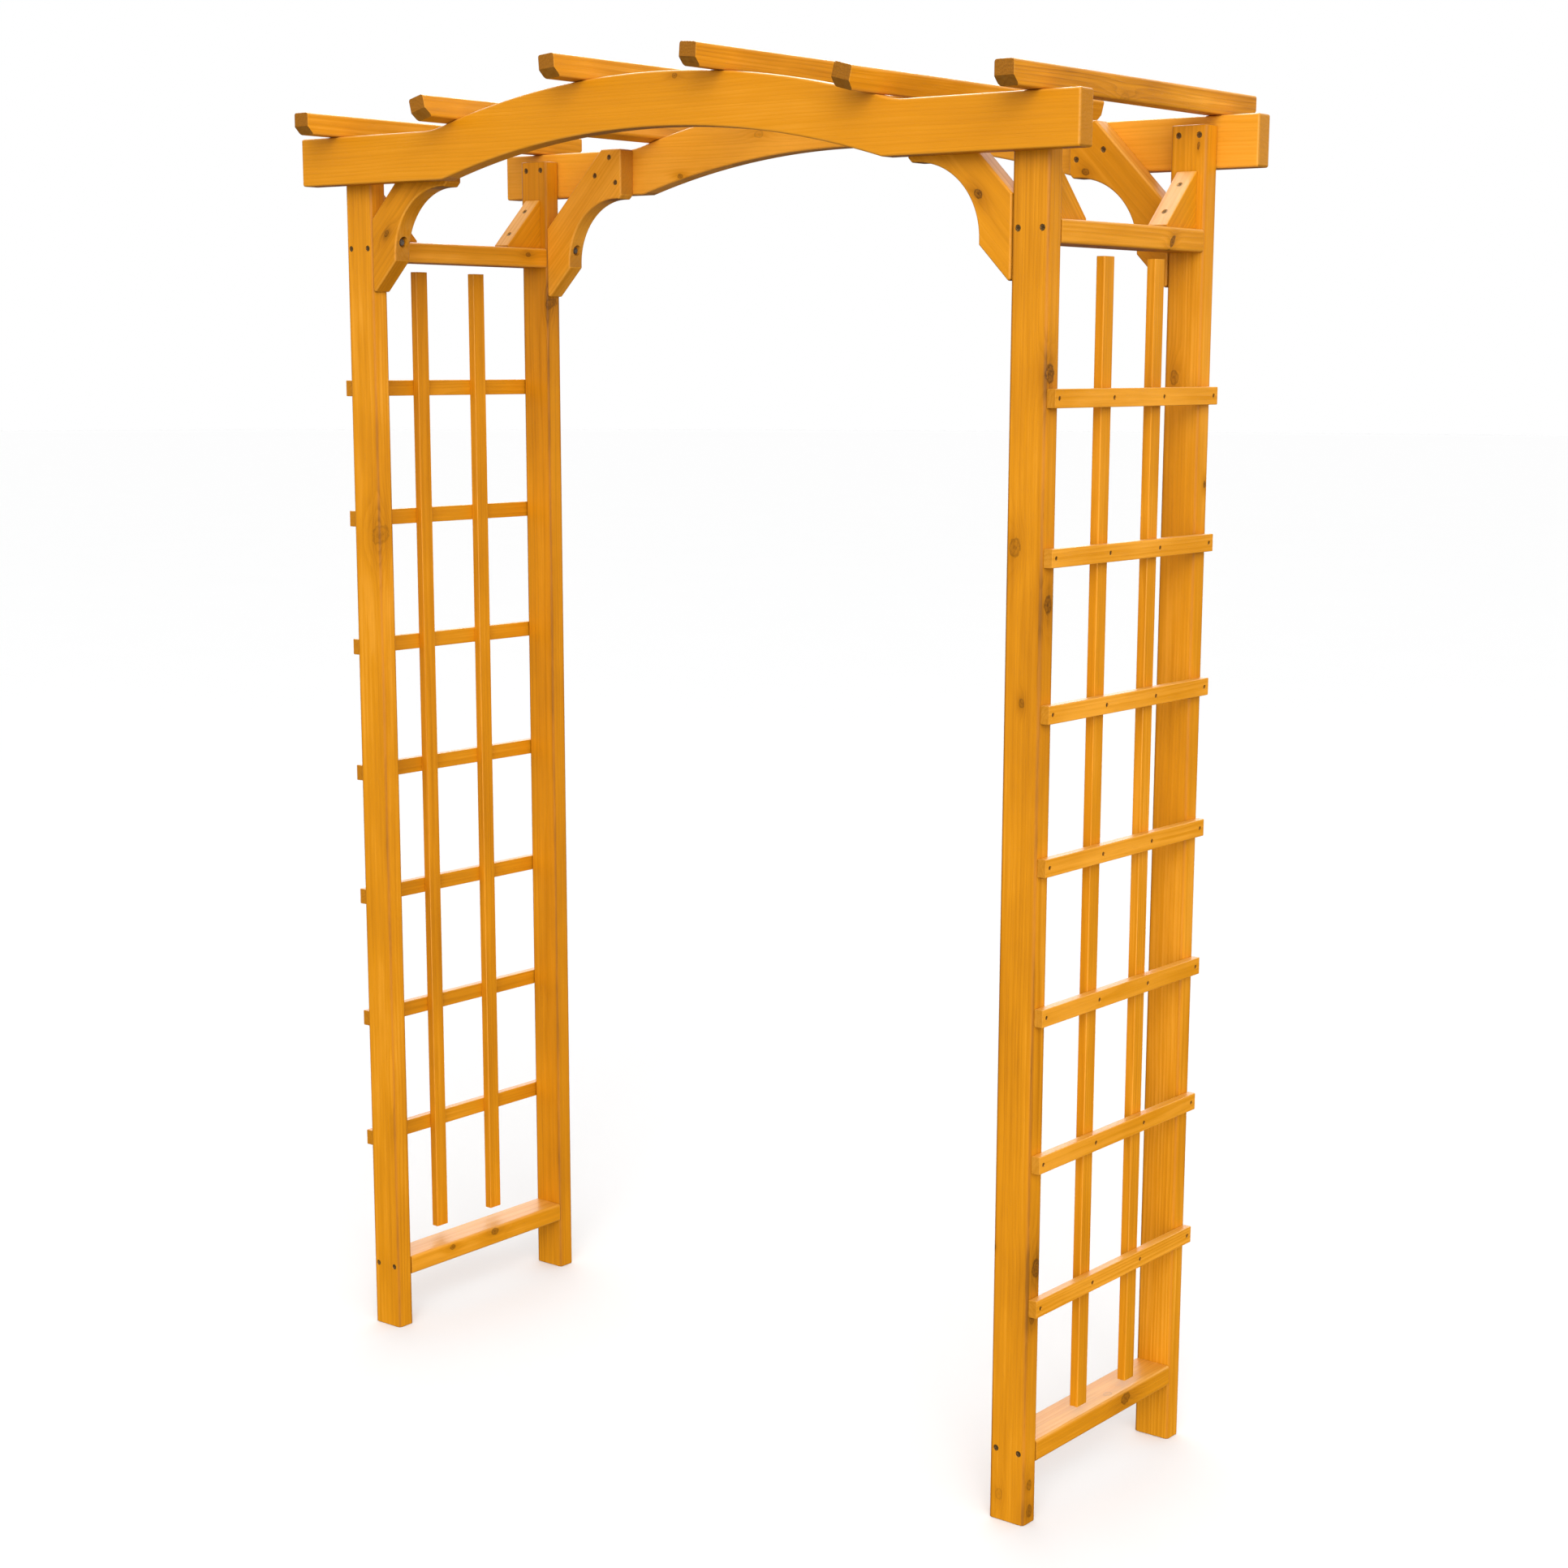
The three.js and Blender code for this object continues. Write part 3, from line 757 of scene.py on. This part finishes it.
def makeBoardAlongY(node, ease, endEase):
    # a rectangle with rounded corners carried from front to rear
    low, high, middle, size = boxOf(node)
    section = boardSection(size[0], size[2], ease, 5)
    piece = cutTimber(node + "_timber", section, size[1], endEase, [axisX, axisZ, axisY], middle, 2)
    drill(piece, [holeCutter(*hole) for hole in holesIn.get(node, [])])
    wide = axisX if size[0] > size[2] else axisZ
    finishTimber(piece, axisY, wide, slats["knots"].get(node, ()), sawn=0.45)


def makeUpright(node):
    # a rectangle with rounded corners carried up the panel
    low, high, middle, size = boxOf(node)
    section = boardSection(size[0], size[1], slats["lathEase"], 4)
    piece = cutTimber(node + "_timber", section, size[2], slats["endEase"], [axisX, axisY, axisZ], middle, 2)
    finishTimber(piece, axisZ, axisY)


beams = {
    "ease": 0.0036,
    "corner": 0.0037,
    "endDepth": 0.077,
    "crownDepth": 0.080,
    "rise": 0.061,
    "lowerShoulder": 0.200,  # from a post's inner face to where the underside lifts
    "upperShoulder": 0.180,
    "fillet": 0.150,
    "heart": {"front": (0.16, 0.055), "rear": (0.16, -0.03)},  # of the tree, from the beam's middle
    "knots": {
        "front_beam": [((0.057, -0.261, 2.127), (0, 1, 0.1), 0.0035, 0.7)],
        "rear_beam": [((-0.178, 0.2275, 2.085), (0, 1, 0.1), 0.0060, 0.35),
                      ((-0.3525, 0.2275, 2.023), (0, 1, 0), 0.0040, 0.8)],
    },
}


def arcOver(halfSpan, base, rise):
    # the circle through both ends of a span and a crown above its middle
    radius = (halfSpan ** 2 + rise ** 2) / (2 * rise)
    return radius, base + rise - radius, math.asin(halfSpan / radius)


def beamCurves():
    # underside and top of the level ends, the circles under and over the arch, the middle and the turn of
    # the fillet between arch and level end, and half the beam's length
    low, high, middle, size = boxOf("front_beam")
    bottom = low[2]
    top = bottom + beams["endDepth"]
    lower = arcOver(arch["inner"] - beams["lowerShoulder"], bottom, beams["rise"])
    crown = bottom + beams["rise"] + beams["crownDepth"]
    upper = arcOver(arch["inner"] - beams["upperShoulder"], top, crown - top)
    height = top + beams["fillet"] - upper[1]
    filletX = math.sqrt((upper[0] + beams["fillet"]) ** 2 - height ** 2)
    return bottom, top, lower, upper, filletX, math.atan2(filletX, height), size[0] / 2


def beamTopAt(x):
    # height of the top: the upper circle in the middle, then the fillet, then level
    bottom, top, lower, upper, filletX, turn, half = beamCurves()
    reach = np.abs(x)
    crown = upper[1] + np.sqrt(np.maximum(upper[0] ** 2 - reach ** 2, 0))
    hollow = top + beams["fillet"] - np.sqrt(np.maximum(beams["fillet"] ** 2 - (filletX - reach) ** 2, 0))
    return np.where(reach <= upper[0] * math.sin(turn), crown, np.where(reach >= filletX, top, hollow))


def makeBeam(end):
    # the outline runs along the underside, up the right end, back over the arch and down the left end
    low, high, middle, size = boxOf(end + "_beam")
    bottom, top, lower, upper, filletX, turn, half = beamCurves()
    quarter = math.pi / 2
    under = arc((0, lower[1]), lower[0], quarter + lower[2], quarter - lower[2], 49)
    rightFillet = arc((filletX, top + beams["fillet"]), beams["fillet"], -quarter, -quarter - turn, 7)
    over = arc((0, upper[1]), upper[0], quarter - turn, quarter + turn, 49)
    leftFillet = arc((-filletX, top + beams["fillet"]), beams["fillet"], -quarter + turn, -quarter, 7)
    corner = [beams["corner"]]
    outline = np.concatenate([[(-half, bottom)], under, [(half, bottom), (half, top)],
                              rightFillet[:-1], over, leftFillet[1:], [(-half, top)]])
    radii = np.concatenate([corner, 0 * under[:, 0], corner * 2, 0 * rightFillet[:-1, 0], 0 * over[:, 0],
                            0 * leftFillet[1:, 0], corner])
    piece = cutTimber(end + "_beam_timber", roundOff(outline, radii), size[1], beams["ease"],
                      [axisX, axisZ, axisY], (0, middle[1], 0))
    drill(piece, [holeCutter(*hole) for hole in holesIn.get(end + "_beam", [])])
    finishTimber(piece, axisX, axisZ, beams["knots"][end + "_beam"], beams["heart"][end], 0.5, 0.5)


cornerBraces = {
    "ease": 0.0034,
    "corner": 0.0036,
    "width": 0.087,
    "reach": 0.178,
    "drop": 0.008,
    "heel": 0.055,
    "flat": 0.008,
    "hollow": 0.107,  # radius of the inner edge
    "nose": 0.007,
    "screws": [(0.151, 2.058), (0.117, 2.028), (0.165, 2.015)],
    "knots": {
        "front_left": [((-0.603, -0.2275, 1.916), (0, 1, 0), 0.0040, 1.0)],
        "rear_right": [((0.490, 0.194, 1.996), (1, 1, 0.1), 0.0042, 0.9)],
        "front_right": [((0.582, -0.2275, 1.941), (0.3, 1, 0.4), 0.0050, 1.0)],
    },
}


def braceOutline():
    # drawn from the post's inner face: first number away from the post, second the height
    b = cornerBraces
    bottom, top = beamCurves()[:2]
    lap = bottom - b["drop"]
    centre = (b["heel"] + b["hollow"], lap - b["hollow"])
    tip = centre[1] - b["flat"] - b["heel"]
    outer = tip + b["width"] * math.sqrt(2)
    curve = arc(centre, b["hollow"], math.pi / 2, math.pi, 29)
    corners = np.concatenate([
        [(0, tip), (0, outer), (top - outer, top), (b["reach"], top), (b["reach"], lap + b["nose"]),
         (b["reach"] - b["nose"], lap)], curve, [(b["heel"], centre[1] - b["flat"])]])
    radii = np.concatenate([[b["corner"]] * 6, 0 * curve[:, 0], [b["corner"]]])
    return corners, radii


def makeCornerBrace(end, side):
    # its outline carried from front to rear, less the screw holes and the bore for the bolt
    node = f"{end}_{side}_corner_brace"
    low, high, middle, size = boxOf(node)
    corners, radii = braceOutline()
    inward = -sides[side]
    origin = (sides[side] * arch["inner"], middle[1], 0)
    piece = cutTimber(node + "_timber", roundOff(corners, radii), size[1], cornerBraces["ease"],
                      [axisX * inward, axisZ, axisY], origin)
    boltLow, boltHigh, boltMiddle, boltSize = boxOf(f"{end}_{side}_coach_bolt")
    seat = (boltLow if side == "right" else boltHigh)[0] - inward * coachBolts["seat"]
    bore = [(fastener["boltHoleRadius"], 0.0), (fastener["boltHoleRadius"], 0.03)]
    cutters = [holeCutter(*hole) for hole in holesIn.get(node, [])]
    mouth = (seat, boltMiddle[1], boltMiddle[2])
    cutters.append(turned("bore", bore, 32, facingBasis(axisX * inward), mouth))
    drill(piece, cutters)
    along = np.array([inward, 0, 1.0])
    knots = cornerBraces["knots"].get(f"{end}_{side}", ())
    finishTimber(piece, along, (inward, 0, -1.0), knots, figure=0.85, sawn=0.85)


kneeBraces = {
    "ease": 0.0017,
    "corner": 0.0018,
    "leg": 0.084,
    "blunt": 0.0035,
    "screwInset": 0.020,
}


def makeKneeBrace(end, side):
    # a right-angled triangle with two blunt tips, carried through its thickness
    node = f"{end}_{side}_knee_brace"
    low, high, middle, size = boxOf(node)
    k = kneeBraces
    leg, blunt = k["leg"], k["blunt"]
    outline = roundOff([(0, 0), (leg, 0), (leg, blunt), (blunt, leg), (0, leg)], k["corner"], 3)
    inward = -ends[end]
    origin = (middle[0], low[1] if inward > 0 else high[1], low[2])
    piece = cutTimber(node + "_timber", outline, size[0], k["ease"],
                      [axisY * inward, axisZ, axisX], origin, 3)
    drill(piece, [holeCutter(*hole) for hole in holesIn.get(node, [])])
    finishTimber(piece, (0, inward, -1.0), axisX)


rafters = {
    "count": 6,
    "ease": 0.0042,
    "width": 0.032,
    "height": 0.0345,
    "inset": 0.010,
    "chamfer": 0.013,
    "clearance": 0.0003,
    "figure": {"rafter_6": 1.9},
    "knots": {"rafter_6": [((0.768, -0.030, 2.087), (1, 0.3, 0.2), 0.0080, 0.30)]},
}


def rafterPlace(index):
    # a rafter tilts with the chord of the beam's top under its foot, just clear of the highest point
    r = rafters
    span = 2 * (arch["outer"] - r["inset"])
    x = span * (index / (r["count"] - 1) - 0.5)
    dx = np.linspace(-0.5, 0.5, 25) * r["width"]
    heights = beamTopAt(x + dx)
    slope = (heights[-1] - heights[0]) / r["width"]
    middle = (heights[-1] + heights[0]) / 2
    lift = (heights - middle - slope * dx).max()
    across = unit(np.array([1.0, 0, slope]))
    return np.array([x, 0, middle + lift + r["clearance"]]), across, np.cross(across, axisY)


def makeRafter(index):
    r = rafters
    node = f"rafter_{index + 1}"
    low, high, middle, size = boxOf(node)
    half = size[1] / 2
    origin, across, up = rafterPlace(index)
    section = roundOff([(-r["width"] / 2, 0), (r["width"] / 2, 0), (r["width"] / 2, r["height"]),
                        (-r["width"] / 2, r["height"])], r["ease"], 5)
    piece = cutTimber(node + "_timber", section, size[1], 0.0012, [across, up, axisY], origin, 2)
    cutters = [holeCutter(*hole) for hole in holesIn.get(node, [])]
    # both lower ends are sawn off at 45 degrees
    c = r["chamfer"]
    for end in (-1, 1):
        wedge = np.array([(-0.02, -0.02), (c, -0.02), (c, 0), (0, c), (-0.02, c)])
        tip = origin + end * half * axisY
        cutters.append(cutTimber("saw", wedge, 0.08, 0.0, [-end * axisY, up, across], tip, 1))
    drill(piece, cutters)
    figure = r["figure"].get(node, 1.2)
    finishTimber(piece, axisY, across, r["knots"].get(node, ()), figure=figure, sawn=1.0)


steelFinish = {
    "zinc": (0.40, 0.38, 0.34, 1),
    "tarnish": (0.17, 0.13, 0.09, 1),
    "screw": (0.36, 0.21, 0.075, 1),
    "screwDark": (0.17, 0.095, 0.030, 1),
}


def weatheredSteel(name, bright, dull, rough):
    # steel with dull patches a few millimetres long and a fine grit
    material, tree, shader = newMaterial(name)
    place = addNode(tree, "TexCoord").outputs["Object"]
    patches = cloud(tree, place, (420, 420, 420), 3, 0.6).outputs[0]
    grit = cloud(tree, place, (2600, 2600, 2600), 2).outputs[0]
    colour = blendColour(tree, ramp(tree, patches, 0.35, 0.7), bright, dull)
    feed(tree, shader.inputs["Base Color"], colour)
    feed(tree, shader.inputs["Roughness"], ramp(tree, patches, 0.3, 0.7, rough, rough + 0.25, False))
    shader.inputs["Metallic"].default_value = 0.85
    bump = addNode(tree, "Bump")
    bump.inputs["Strength"].default_value = 0.4
    bump.inputs["Distance"].default_value = 0.0001
    feed(tree, bump.inputs["Height"], grit)
    feed(tree, shader.inputs["Normal"], bump.outputs[0])
    return material


coachBolts = {
    "flangeRadius": 0.0075,
    "flange": 0.0016,
    "hexRadius": 0.0058,
    "hexHeight": 0.0054,
    "seat": 0.007,  # from the end of the head's box back to the face it is tightened on
}


def makeCoachBolt(end, side):
    # rings about the bolt's axis, where the radius is the smaller of a hexagon, R cos 30 / cos(a - the
    # middle of its flat), and the round of the profile
    b = coachBolts
    node = f"{end}_{side}_coach_bolt"
    low, high, middle, size = boxOf(node)
    inward = -sides[side]
    seat = (low if side == "right" else high)[0] - inward * b["seat"]
    a = np.linspace(0, 2 * np.pi, 48, endpoint=False)
    hexagon = b["hexRadius"] * math.cos(math.pi / 6) / np.cos((a % (math.pi / 3)) - math.pi / 6)
    f, h = b["flange"], b["hexHeight"]
    profile = np.array([(0.0030, -0.012), (0.0030, 0), (b["flangeRadius"], 0), (b["flangeRadius"], f * 0.5),
                        (b["flangeRadius"] * 0.95, f * 0.8), (0.0063, f), (0.0059, f),
                        (0.0059, f + h * 0.80), (0.0052, f + h * 0.97), (0.0050, f + h),
                        (0.0036, f + h), (0.0034, f + h - 0.0003),
                        (0.0010, f + h - 0.0003)])
    radius = np.minimum(profile[:, :1], np.where(np.arange(len(profile))[:, None] > 5, hexagon, 1.0))
    rings = np.stack([radius * np.cos(a), radius * np.sin(a),
                      np.broadcast_to(profile[:, 1:], radius.shape)], -1)
    piece = ringedSolid(node + "_steel", rings, facingBasis(axisX * inward), (seat, middle[1], middle[2]))
    smoothEdges(piece, 25)
    piece.data.materials.append(zincSteel)
    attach(piece, "root")
    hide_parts(node)


def makeHeads(group, nodes=()):
    # every head of a group in one piece, each cross turned its own way
    turns = np.random.default_rng(90 + len(group)).uniform(0, np.pi / 2, len(headsOf[group]))
    heads = [screwHead(place, outward, turn) if kind == "screw" else nailHead(place, outward)
             for (kind, place, outward), turn in zip(headsOf[group], turns)]
    piece = joinPieces(group, heads)
    smoothEdges(piece, 40)
    piece.data.materials.append(darkSteel)
    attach(piece, "root")
    if nodes:
        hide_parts(*nodes)


def layOutFasteners():
    # where each screw and nail goes, before any timber is cut
    a = arch
    railHeights = [boxOf("right_" + rail)[2][2] for rail in ("top_rail", "bottom_rail")]
    inset, spread = slats["nailInset"], slats["uprightSpread"]
    for side, sx in sides.items():
        for end, sy in ends.items():
            corner = f"{end}_{side}"
            for step in (-1, 1):
                x = sx * a["postMiddle"] + step * posts["screwSpread"]
                for z in railHeights:
                    setFastener(corner + "_post", "rail_screws", "screw",
                                (x, sy * a["halfDepth"], z + 0.0035), axisY * sy)
                x = sx * a["postMiddle"] + step * posts["topScrewSpread"]
                setFastener(corner + "_post", "beam_screws", "screw",
                            (x, sy * a["panelFace"], a["postTop"] - posts["topScrewDrop"]), -axisY * sy)
            for u, z in cornerBraces["screws"]:
                brace = f"{corner}_corner_brace"
                low, high = (np.array(c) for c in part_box(brace))
                y = high[1] if sy < 0 else low[1]
                setFastener(brace, "brace_screws", "screw", (sx * (a["inner"] - u), y, z), -axisY * sy)
            k = kneeBraces
            low, high, middle, size = boxOf(f"{corner}_knee_brace")
            heel = np.array([middle[0], low[1] if sy < 0 else high[1], low[2]])
            out = unit(np.array([0, -sy, 1.0]))
            near = k["blunt"] + k["screwInset"]
            far = k["leg"] - k["screwInset"]
            for across, up in ((far, near), (near, far)):
                setFastener(f"{corner}_knee_brace", "knee_screws", "screw",
                            heel + np.array([0, -sy * across, up]), out)
        for row in range(7):
            lath = f"{side}_lath_{row + 1}"
            low, high, middle, size = boxOf(lath)
            x = high[0] if sx > 0 else low[0]
            for y in (-inset, -spread, spread, inset):
                setFastener(lath, "lath_nails", "nail", (x, y, middle[2]), axisX * sx)
    for index in range(rafters["count"]):
        origin, across, up = rafterPlace(index)
        for sy in (-1, 1):
            y = boxOf("front_beam" if sy < 0 else "rear_beam")[2][1]
            setFastener(f"rafter_{index + 1}", "rafter_screws", "screw",
                        origin + up * rafters["height"] + axisY * y, up)


makeFloor()
makeStudio()
print("garden arch: studio ready")
layOutFasteners()
for end in ends:
    for side in sides:
        makePost(f"{end}_{side}")
print("garden arch: posts stand")
for side in sides:
    makeBoardAlongY(f"{side}_top_rail", slats["railEase"], 0.0012)
    makeBoardAlongY(f"{side}_bottom_rail", slats["railEase"], 0.0012)
    for row in range(7):
        makeBoardAlongY(f"{side}_lath_{row + 1}", slats["lathEase"], slats["endEase"])
    for end in ends:
        makeUpright(f"{side}_upright_{end}")
print("garden arch: panels filled in")
for end in ends:
    makeBeam(end)
    for side in sides:
        makeCornerBrace(end, side)
        makeKneeBrace(end, side)
for index in range(rafters["count"]):
    makeRafter(index)
print("garden arch: beams, braces and rafters up")
zincSteel = weatheredSteel("zincSteel", steelFinish["zinc"], steelFinish["tarnish"], 0.35)
darkSteel = weatheredSteel("darkSteel", steelFinish["screw"], steelFinish["screwDark"], 0.45)
for end in ends:
    for side in sides:
        makeCoachBolt(end, side)
kneeNodes = [f"{end}_{side}_knee_screw_{level}"
             for end in ends for side in sides for level in ("upper", "lower")]
makeHeads("knee_screws", kneeNodes)
for group in ("rail_screws", "beam_screws", "brace_screws", "lath_nails", "rafter_screws"):
    makeHeads(group)
print("garden arch:", len(timbersMade), "timbers and their fasteners done")
